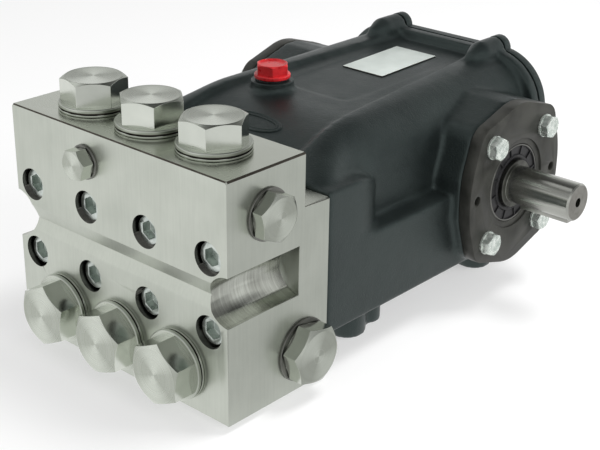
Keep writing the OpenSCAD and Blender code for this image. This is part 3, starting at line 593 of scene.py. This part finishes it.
def hexagon(bm, across_flats, low, high, face_r, turn, matrix, slope=30, dish=0.0, lip=0.93):
    """Adds a hexagon in mm, whose upper corners are turned to a cone down from a round face.

    The face sinks by dish inside a lip, and the six flats get the piece's second finish.
    """
    part = bmesh.new()
    corner_r = across_flats / 2 * MM / math.cos(math.radians(30))
    bmesh.ops.create_circle(part, cap_ends=False, radius=corner_r, segments=6)
    bmesh.ops.subdivide_edges(part, edges=part.edges[:], cuts=11)
    bmesh.ops.translate(part, verts=part.verts, vec=(0, 0, low * MM))
    bottom = part.edges[:]
    walls = bmesh.ops.extrude_edge_only(part, edges=bottom)["geom"]
    for v in walls:
        if isinstance(v, bmesh.types.BMVert):
            out = v.co.xy.length / MM
            v.co.z = (high - (out - face_r) * math.tan(math.radians(slope))) * MM
    rim = [e for e in walls if isinstance(e, bmesh.types.BMEdge)]
    flats = set(part.faces)
    for r, z in ((face_r, high), (face_r * lip, high - dish)):
        ring = bmesh.ops.extrude_edge_only(part, edges=rim)["geom"]
        for v in ring:
            if isinstance(v, bmesh.types.BMVert):
                place = v.co.xy.normalized() * r * MM
                v.co = (place.x, place.y, z * MM)
        rim = [e for e in ring if isinstance(e, bmesh.types.BMEdge)]
    bmesh.ops.edgeloop_fill(part, edges=rim)
    bmesh.ops.edgeloop_fill(part, edges=bottom)
    for face in part.faces:
        face.material_index = 1 if face in flats else 0
    bmesh.ops.recalc_face_normals(part, faces=part.faces)
    join(bm, part, matrix @ turned_degrees(turn + 30))


def hex_bolt(bm, d, across_flats, place, turn):
    """A bolt head on its washer, for a thread of diameter d."""
    washer = d * 0.2
    r = across_flats * 0.57
    turned(bm, ((0, 0), (r - 0.2, 0), (r, 0.2), (r, washer - 0.3), (r - 0.3, washer), (0, washer)),
           place, steps=48)
    hexagon(bm, across_flats, washer, washer + d * 0.62, across_flats * 0.475, turn, place,
            dish=d * 0.02)


# ---------------------------------------------------------------- finishes

PAINT = case_paint()
HEAD_STEEL = ground_steel("ground_head_steel", (0.53, 0.56, 0.50), (0.62, 0.65, 0.585),
                          (0.30, 0.38), stretch=(1, 1, 0.05), depth=0.01)
TOP_STEEL = ground_steel("ground_top_steel", (0.50, 0.525, 0.46), (0.60, 0.63, 0.56),
                         (0.22, 0.30), stretch=(0.06, 1, 1), depth=0.02)
CHANNEL_STEEL = ground_steel("milled_channel", (0.36, 0.37, 0.33), (0.76, 0.79, 0.72),
                             (0.14, 0.26), stretch=(0.05, 1, 0.05), depth=0.04)
# a dark metal that paints shade and dark reflection onto the head's chamfers, the collar grooves
# and the nameplate's edges
SHADED_EDGE_STEEL = plain_metal("edge_painted_shade", (0.10, 0.09, 0.075), (0.17, 0.155, 0.13), (0.3, 0.45), 90)
# a dark metal that paints shade into the counterbores and onto the shaft behind its shoulder
SHADED_BORE_STEEL = plain_metal("bored_steel_painted_shade", (0.075, 0.076, 0.068), (0.17, 0.172, 0.155),
                         (0.25, 0.38), 90)
FLAT_STEEL = plain_metal("milled_flats", (0.62, 0.65, 0.59), (0.72, 0.75, 0.685), (0.15, 0.19), 30)
RING_STEEL = plain_metal("ring_steel", (0.16, 0.16, 0.15), (0.30, 0.30, 0.28), (0.3, 0.45))
SCREW_STEEL = plain_metal("screw_zinc", (0.52, 0.57, 0.54), (0.74, 0.79, 0.75), (0.26, 0.38), 200)
ZINC = plain_metal("bolt_zinc", (0.50, 0.56, 0.52), (0.84, 0.89, 0.84), (0.20, 0.32), 220,
                   metallic=0.72)
COVER_STEEL = plain_metal("machined_cover", (0.036, 0.0365, 0.032), (0.062, 0.0625, 0.055),
                          (0.36, 0.50), metallic=0.45)
SEAL_RUBBER = seal_rubber()
SHAFT_END = plain_metal("shaft_end", (0.26, 0.255, 0.23), (0.38, 0.37, 0.34), (0.28, 0.40), 120)
KEY_STEEL = plain_metal("key_steel", (0.48, 0.48, 0.45), (0.62, 0.62, 0.58), (0.25, 0.38))
PLATE = plain_metal("plate_aluminium", (0.66, 0.72, 0.68), (0.76, 0.82, 0.78), (0.38, 0.5), 40,
                    metallic=0.4)


# ---------------------------------------------------------------- crankcase

def make_crankcase():
    """The casting, with its edges run into fillets; the CAD's plain oval is sunk into the skin."""
    bm = bmesh.new()
    bm.from_mesh(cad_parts["crankcase"].data)
    bmesh.ops.remove_doubles(bm, verts=bm.verts, dist=0.002 * MM)
    oval_y, oval_half_x, oval_half_y, oval_drop = -126, 25.2, 10.2, 2.5
    skin_height, skin_rise = 188.5, math.tan(math.radians(15.6))
    for v in bm.verts:
        x, y, z = v.co / MM
        skin_z = skin_height + (y - oval_y) * skin_rise
        if abs(x) < oval_half_x and abs(y - oval_y) < oval_half_y and z > skin_z:
            v.co.z -= oval_drop * MM
    piece = new_piece("crankcase_casting", bm, PAINT)
    skin = piece.modifiers.new("cast_skin", "REMESH")
    skin.mode = "VOXEL"
    skin.voxel_size = 2.2 * MM
    skin.use_smooth_shade = True
    fillets = piece.modifiers.new("cast_fillets", "SMOOTH")
    fillets.factor = 0.5
    fillets.iterations = 9
    hang(piece, "pump", ["crankcase"])


def make_cast_oval():
    """The bare cast oval: a step and a rim, turned round, drawn out in X and bent to the skin."""
    bm = bmesh.new()
    turned(bm, ((7, -4), (7, 0.3), (7.4, 0.8), (8.2, 0.8), (8.6, 0.3), (10.2, 0.3), (10.7, 1.1),
                (11.8, 1.1), (12.4, 0.4), (12.4, -4), (7, -4)))
    longer, bend = 18.5, 3.2
    for v in bm.verts:
        radius = v.co.xy.length
        v.co.x *= (radius + longer * MM) / radius
        v.co.z -= bend * v.co.y * v.co.y
    bm.transform(at(0, -131, 185.9, Matrix.Rotation(math.radians(17.2), 4, "X")))
    finish_piece("cast_oval", bm, (PAINT,), [], bevel=0.3)


def make_covers():
    """The bearing covers with their corners rounded to the outline, and the rear cover."""
    for node in ("bearing_cover_right", "bearing_cover_left"):
        bm = carried(node)
        # places of the corners before and above the shaft, and how wide each is rounded
        for across, up, width in ((71, 18, 13), (8, 77, 7.5)):
            corners = [e for e in bm.edges
                       if all(abs(abs(v.co.y - CRANK_Y * MM) - across * MM) < 0.1 * MM
                              and abs(abs(v.co.z - CRANK_Z * MM) - up * MM) < 0.1 * MM
                              for v in e.verts)
                       and abs(e.verts[0].co.x - e.verts[1].co.x) > 1 * MM]
            round_edges(bm, corners, width, 8)
        finish_piece(node, bm, (COVER_STEEL,), [node], bevel=0.8)
    finish_piece("rear_cover", carried("rear_cover"), (PAINT,), ["rear_cover"],
                 bevel=1.5, segments=3)


def make_cover_bolts():
    """Four M12 bolts round each bearing cover, each stopped at its own turn."""
    across, rise = 41, 46
    for side, name, turn_to in ((1, "right_cover_bolts", TO_RIGHT),
                                (-1, "left_cover_bolts", TO_LEFT)):
        bm = bmesh.new()
        for rearward, upward, turn in ((-1, 1, 0), (1, 1, 14), (-1, -1, 8), (1, -1, 25)):
            place = at(side * COVER_X, CRANK_Y + rearward * across, CRANK_Z + upward * rise,
                       turn_to)
            hex_bolt(bm, 12, 19, place, turn)
        finish_piece(name, bm, (ZINC, ZINC), [name], bevel=0.4)


def make_rear_bolts():
    """Eight M8 bolts round the rear cover: two on top, two on each side and two below."""
    bm = bmesh.new()
    top = [(x, 206) for x in (-60, 60)]
    sides = [(x, CRANK_Z + h) for x in (-104, 104) for h in (-30, 30)]
    bottom = [(x, 52) for x in (-50, 50)]
    for count, (x, z) in enumerate(top + sides + bottom):
        hex_bolt(bm, 8, 13, at(x, REAR_Y, z, TO_REAR), count * 17)
    finish_piece("rear_cover_bolts", bm, (ZINC, ZINC), ["rear_cover_bolts"],
                 bevel=0.3)


def make_seal():
    """The shaft seal: a steel rim, a sunk rubber face with twelve ribs and a lip on the shaft."""
    bm = bmesh.new()
    place = at(SEAL_X, CRANK_Y, CRANK_Z, TO_RIGHT)
    turned(bm, ((22.55, 0), (36.9, 0), (36.9, 6.4), (36.4, 7), (35.4, 7), (34.9, 6.5), (34.7, 5.3),
                (27.2, 5.2), (26.8, 6.2), (26.0, 6.9), (24.4, 6.7), (22.55, 5.6), (22.55, 0)),
           place)
    ribs = 12
    for k in range(ribs):
        rib = bmesh.new()
        bmesh.ops.create_cube(rib, size=1.0)
        bmesh.ops.scale(rib, vec=(8.4 * MM, 1.3 * MM, 1.6 * MM), verts=rib.verts)
        round_edges(rib, rib.edges[:], 0.3, 2)
        bmesh.ops.translate(rib, verts=rib.verts, vec=(31 * MM, 0, 5.7 * MM))
        join(bm, rib, place @ turned_degrees(360 / ribs * k + 12))
    steel_rim_r = 35.3
    for face in bm.faces:
        middle = place.inverted() @ face.calc_center_median()
        if middle.xy.length > steel_rim_r * MM:
            face.material_index = 1
    finish_piece("shaft_seal", bm, (SEAL_RUBBER, RING_STEEL), ["shaft_seal"])


def make_drive_end():
    """The crankshaft from journal to journal, its ground drive end and its key."""
    bm = bmesh.new()
    turned(bm, ((0, -133.5), (30, -133.5), (30, -107.5), (27, -107.5), (27, 107.5), (30, 107.5),
                (30, 133.5), (22.5, 133.5), (22.5, 146.9), (21.9, 147.5), (17.5, 147.5),
                (17.5, 211), (16, 212.5), (4.2, 212.5), (4.2, 192.5), (0, 192.5)),
           at(0, CRANK_Y, CRANK_Z, TO_RIGHT))
    # all that is thicker than the drive end lies behind the shoulder and gets the dark bore
    # finish, painted shade
    shoulder_x, drive_r = 148, 17.8
    for face in bm.faces:
        middle = face.calc_center_median()
        out = math.hypot(middle.y - CRANK_Y * MM, middle.z - CRANK_Z * MM)
        if middle.x < shoulder_x * MM and out > drive_r * MM:
            face.material_index = 1
        elif face.normal.x > 0.9:
            face.material_index = 2
    # the shaft's colour carries a painted highlight, lighter along its top and bottom
    steel = turned_steel("turned_shaft", (0.2, CRANK_Y * MM, CRANK_Z * MM), (1, 0, 0), (0, 0.3, 1),
                         (0.15, 0.20), (0.50, 0.51, 0.47), (0.56, 0.57, 0.53), anisotropic=0.9)
    shader = steel.node_tree.nodes["Principled BSDF"]
    shader.inputs["Anisotropic Rotation"].default_value = 0.25
    finish_piece("crankshaft", bm, (steel, SHADED_BORE_STEEL, SHAFT_END), ["crankshaft"],
                 body="crankshaft", bevel=0.4)
    finish_piece("shaft_key", carried("shaft_key"), (KEY_STEEL,), ["shaft_key"],
                 body="crankshaft", bevel=0.5)


def make_filler():
    """The turned boss on the casting, the red filler cap and the seal between them."""
    bm = bmesh.new()
    turned(bm, ((13, 170), (13, 203), (18.6, 203), (19.3, 202.3), (19.4, 196), (19.4, 170),
                (13, 170)), at(FILLER_X, FILLER_Y, 0))
    finish_piece("filler_boss", bm, (PAINT,), [])
    bm = bmesh.new()
    place = at(FILLER_X, FILLER_Y, FILLER_Z + 2)
    turned(bm, ((0, 0), (15.8, 0), (16.5, 0.6), (16.5, 2.8), (15.9, 3.6), (14.6, 4.0), (0, 4.0)),
           place)
    hexagon(bm, 27, 4, 13, 13.2, 14, place, dish=1.5, lip=0.86)
    red = red_plastic()
    finish_piece("oil_filler_cap", bm, (red, red), ["oil_filler_cap"], bevel=0.6,
                 segments=3)
    bm = bmesh.new()
    turned(bm, ((12.4, 0), (15.0, 0), (15.5, 0.5), (15.5, 1.5), (15.0, 2), (12.4, 2), (12.4, 0)),
           at(FILLER_X, FILLER_Y, FILLER_Z))
    finish_piece("oil_filler_seal", bm, (SEAL_RUBBER,), ["oil_filler_seal"])


def make_rear_fittings():
    """The oil level sight in its hexagon ring and the drain plug below it, on the rear crown."""
    place = at(0, CROWN_Y, SIGHT_Z, TO_REAR)
    bm = bmesh.new()
    turned(bm, ((0, 0), (15, 0), (15, 2), (11, 8.4), (9, 8.4), (8.5, 8), (8.5, 0.5), (0, 0.5)),
           place)
    hexagon(bm, 27, 1.5, 7.6, 12.9, 0, place)
    finish_piece("sight_ring", bm, (ZINC, ZINC), [], bevel=0.3)
    bm = bmesh.new()
    turned(bm, ((0, 0.5), (8.6, 0.5), (8.6, 7.7), (6, 8.0), (3, 8.0), (0, 8.0)), place)
    finish_piece("oil_level_sight", bm, (sight_glass(),), ["oil_level_sight"])
    place = at(0, CROWN_Y, DRAIN_Z, TO_REAR)
    bm = bmesh.new()
    turned(bm, ((0, 0), (11.7, 0), (12, 0.3), (12, 1.7), (11.7, 2), (0, 2)), place, steps=64)
    hexagon(bm, 19, 2, 10, 9, 15, place, dish=0.2)
    finish_piece("oil_drain_plug", bm, (ZINC, ZINC), ["oil_drain_plug"], bevel=0.4)


def make_nameplate():
    """The bare plate, bright on top and dark at its edges, where the dark is painted shadow."""
    bm = carried("nameplate")
    for face in bm.faces:
        face.material_index = 0 if face.normal.z > 0.9 else 1
    finish_piece("nameplate", bm, (PLATE, SHADED_EDGE_STEEL), ["nameplate"], bevel=0.2)


# ---------------------------------------------------------------- fluid head

def finish_head_faces(bm):
    """Gives the head's faces the numbers of their finishes: side, channel, edge, top and bore;
    edge and bore get dark finishes as painted shade and dark reflection.
    """
    channel, edge, top, bore = 1, 2, 3, 4
    screws = [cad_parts[f"{row}_head_screw_{number}"]
              for row in ("upper", "lower") for number in (1, 2, 3, 4)]
    bores = [sum((Vector(corner) for corner in screw.bound_box), Vector()) / 8
             for screw in screws]
    for face in bm.faces:
        middle = face.calc_center_median()
        ahead, aside, up = abs(face.normal.y), abs(face.normal.x), face.normal.z
        if up > 0.9:
            face.material_index = top
        from_bore = min(math.hypot(middle.x - b.x, middle.z - b.z) for b in bores)
        in_front = middle.y < (FRONT_Y + COUNTERBORE_REACH) * MM
        # counterbore walls: painted shade, darker than the face around them
        if from_bore < COUNTERBORE_R * MM and ahead < 0.5 and in_front:
            face.material_index = bore
        # chamfers along the top and the step: painted dark reflection
        if up > 0.6 and max(aside, ahead) > 0.6 and middle.z > (STEP_Z - 2) * MM:
            face.material_index = edge
        from_channel = math.hypot(abs(middle.x) - HEAD_SIDE_X * MM, middle.z - PLUNGER_Z * MM)
        inside = (abs(middle.x) < (HEAD_SIDE_X - 0.5) * MM
                  and middle.y < (CHANNEL_END_Y - 0.5) * MM)
        if from_channel < (CHANNEL_R + 0.3) * MM and inside and ahead < 0.5:
            face.material_index = channel


def make_head():
    """The fluid head, with a chamfer along its top and step and slightly broken long edges."""
    bm = carried("head_block")
    chamfer = 1.5
    top_edge = [e for e in bm.edges
                if all(abs(v.co.y - FRONT_Y * MM) < NEAR
                       and abs(v.co.z - HEAD_TOP_Z * MM) < (chamfer + 0.1) * MM for v in e.verts)
                and abs(e.verts[0].co.x - e.verts[1].co.x) > 0.1 * MM]
    step_edges = [e for e in bm.edges
                  if all(abs(abs(v.co.x) - HEAD_SIDE_X * MM) < NEAR
                         and abs(v.co.z - STEP_Z * MM) < NEAR for v in e.verts)]
    round_edges(bm, top_edge, 1.0, 1)
    round_edges(bm, step_edges, 1.4, 1)
    long_edges = [e for e in bm.edges if len(e.link_faces) == 2 and e.calc_length() > 20 * MM
                  and e.calc_face_angle() > math.radians(57)]
    round_edges(bm, long_edges, 0.5, 2)
    finish_head_faces(bm)
    head = finish_piece("fluid_head", bm,
                        (HEAD_STEEL, CHANNEL_STEEL, SHADED_EDGE_STEEL, TOP_STEEL, SHADED_BORE_STEEL),
                        ["head_block"], angle=35)
    even = head.modifiers.new("flat_faces", "WEIGHTED_NORMAL")
    even.mode = "FACE_AREA"
    even.weight = 80
    even.keep_sharp = True


def make_valve_caps():
    """Three discharge caps on top and three suction caps in front, each on a grooved collar."""
    groove_low, groove_high = 2.1, 3.2
    # fan: the way along which each row's painted highlight lightens its turned faces
    for row, y, z, turn_to, fan, turns in (
            ("discharge", DISCHARGE_Y, HEAD_TOP_Z, UP, (0.55, -0.8, 0), (-11, 22, 3)),
            ("suction", FRONT_Y, SUCTION_Z, TO_FRONT, (0.12, 0, 1), (26, 20, 24))):
        axis = tuple(turn_to @ Vector((0, 0, 1)))
        for number, (x, turn) in enumerate(zip(CYLINDERS, turns), 1):
            place = at(x, y, z, turn_to)
            steel = turned_steel(f"turned_{row}_{number}", tuple(place.translation), axis, fan,
                                 (0.24, 0.30))
            bm = bmesh.new()
            turned(bm, ((0, 0), (29.6, 0), (30, 0.4), (30, 1.7), (29.6, 2.1), (28.0, 2.15),
                        (28.0, 3.15), (29.6, 3.2), (30, 3.6), (30, 5.9), (29.3, 6.6), (22, 6.7),
                        (0, 6.7)), place)
            # the collar's groove gets the dark edge finish: painted shade
            for face in bm.faces:
                height = (place.inverted() @ face.calc_center_median()).z / MM
                if groove_low < height < groove_high:
                    face.material_index = 2
            hexagon(bm, 48.5, 6.5, 27, 23.4, turn, place, slope=28, dish=0.25)
            finish_piece(f"{row}_cap_{number}", bm, (steel, FLAT_STEEL, SHADED_EDGE_STEEL),
                         [f"{row}_valve_cap_{number}"], bevel=0.5)


def make_plugs():
    """The hexagon plugs of the outlet, the inlet and the gauge port, on their sealing rings."""
    # the ways along which the painted highlight lightens the plug faces
    right, front = (0, 0.75, -1), (0.3, 0, 1)
    for name, across_flats, top, face_r, ring_r, bore, place, turn, fan in (
            ("outlet_plug", 36, 12.5, 16.6, 21.3, 12.3,
             at(PLUG_X, DISCHARGE_Y, OUTLET_Z, TO_RIGHT), 8, right),
            ("inlet_plug", 46, 16.5, 21.4, 27.3, 22.6,
             at(PLUG_X, INLET_Y, SUCTION_Z, TO_RIGHT), 18, right),
            ("gauge_plug", 24, 12, 11.2, 14.5, 6.7, at(*GAUGE_PLACE, TO_FRONT), 10, front)):
        axis = tuple(place.to_3x3() @ Vector((0, 0, 1)))
        steel = turned_steel(f"turned_{name}", tuple(place.translation), axis, fan, (0.20, 0.28))
        bm = bmesh.new()
        r = across_flats / 2
        turned(bm, ((0, 0), (r - 0.3, 0), (r, 0.3), (r, 1.0), (0, 1.0)), place)
        hexagon(bm, across_flats, 1.0, top, face_r, turn, place, dish=0.2)
        finish_piece(name, bm, (steel, FLAT_STEEL), [name], bevel=0.4)
        bm = bmesh.new()
        turned(bm, ((bore, -2), (ring_r - 0.3, -2), (ring_r, -1.7), (ring_r, -0.35),
                    (ring_r - 0.35, 0), (bore, 0), (bore, -2)), place)
        finish_piece(f"{name}_washer", bm, (RING_STEEL,), [f"{name}_ring"])


def make_head_screws():
    """The eight socket screws of the head, as the CAD has them."""
    for row in ("upper", "lower"):
        for number in (1, 2, 3, 4):
            node = f"{row}_head_screw_{number}"
            finish_piece(node, carried(node), (SCREW_STEEL,), [node], bevel=0.6)


# ---------------------------------------------------------------- the scene

make_camera()
make_world()
make_floor()
soft_box("back_right_box", (1.25, 1.05, 0.46), (0.05, 0, 0.15), (1.0, 0.4), 14)
soft_box("overhead_box", (0.55, 0.45, 1.8), (0, -0.05, 0.1), (0.7, 0.6), 18)
soft_box("front_right_box", (1.7, -0.7, 0.9), (0, -0.1, 0.1), (1.0, 0.9), 8)

make_crankcase()
make_cast_oval()
make_head()
make_valve_caps()
make_plugs()
make_head_screws()
make_covers()
make_cover_bolts()
make_rear_bolts()
make_seal()
make_drive_end()
make_filler()
make_rear_fittings()
make_nameplate()

bpy.context.scene.view_settings.view_transform = "Standard"
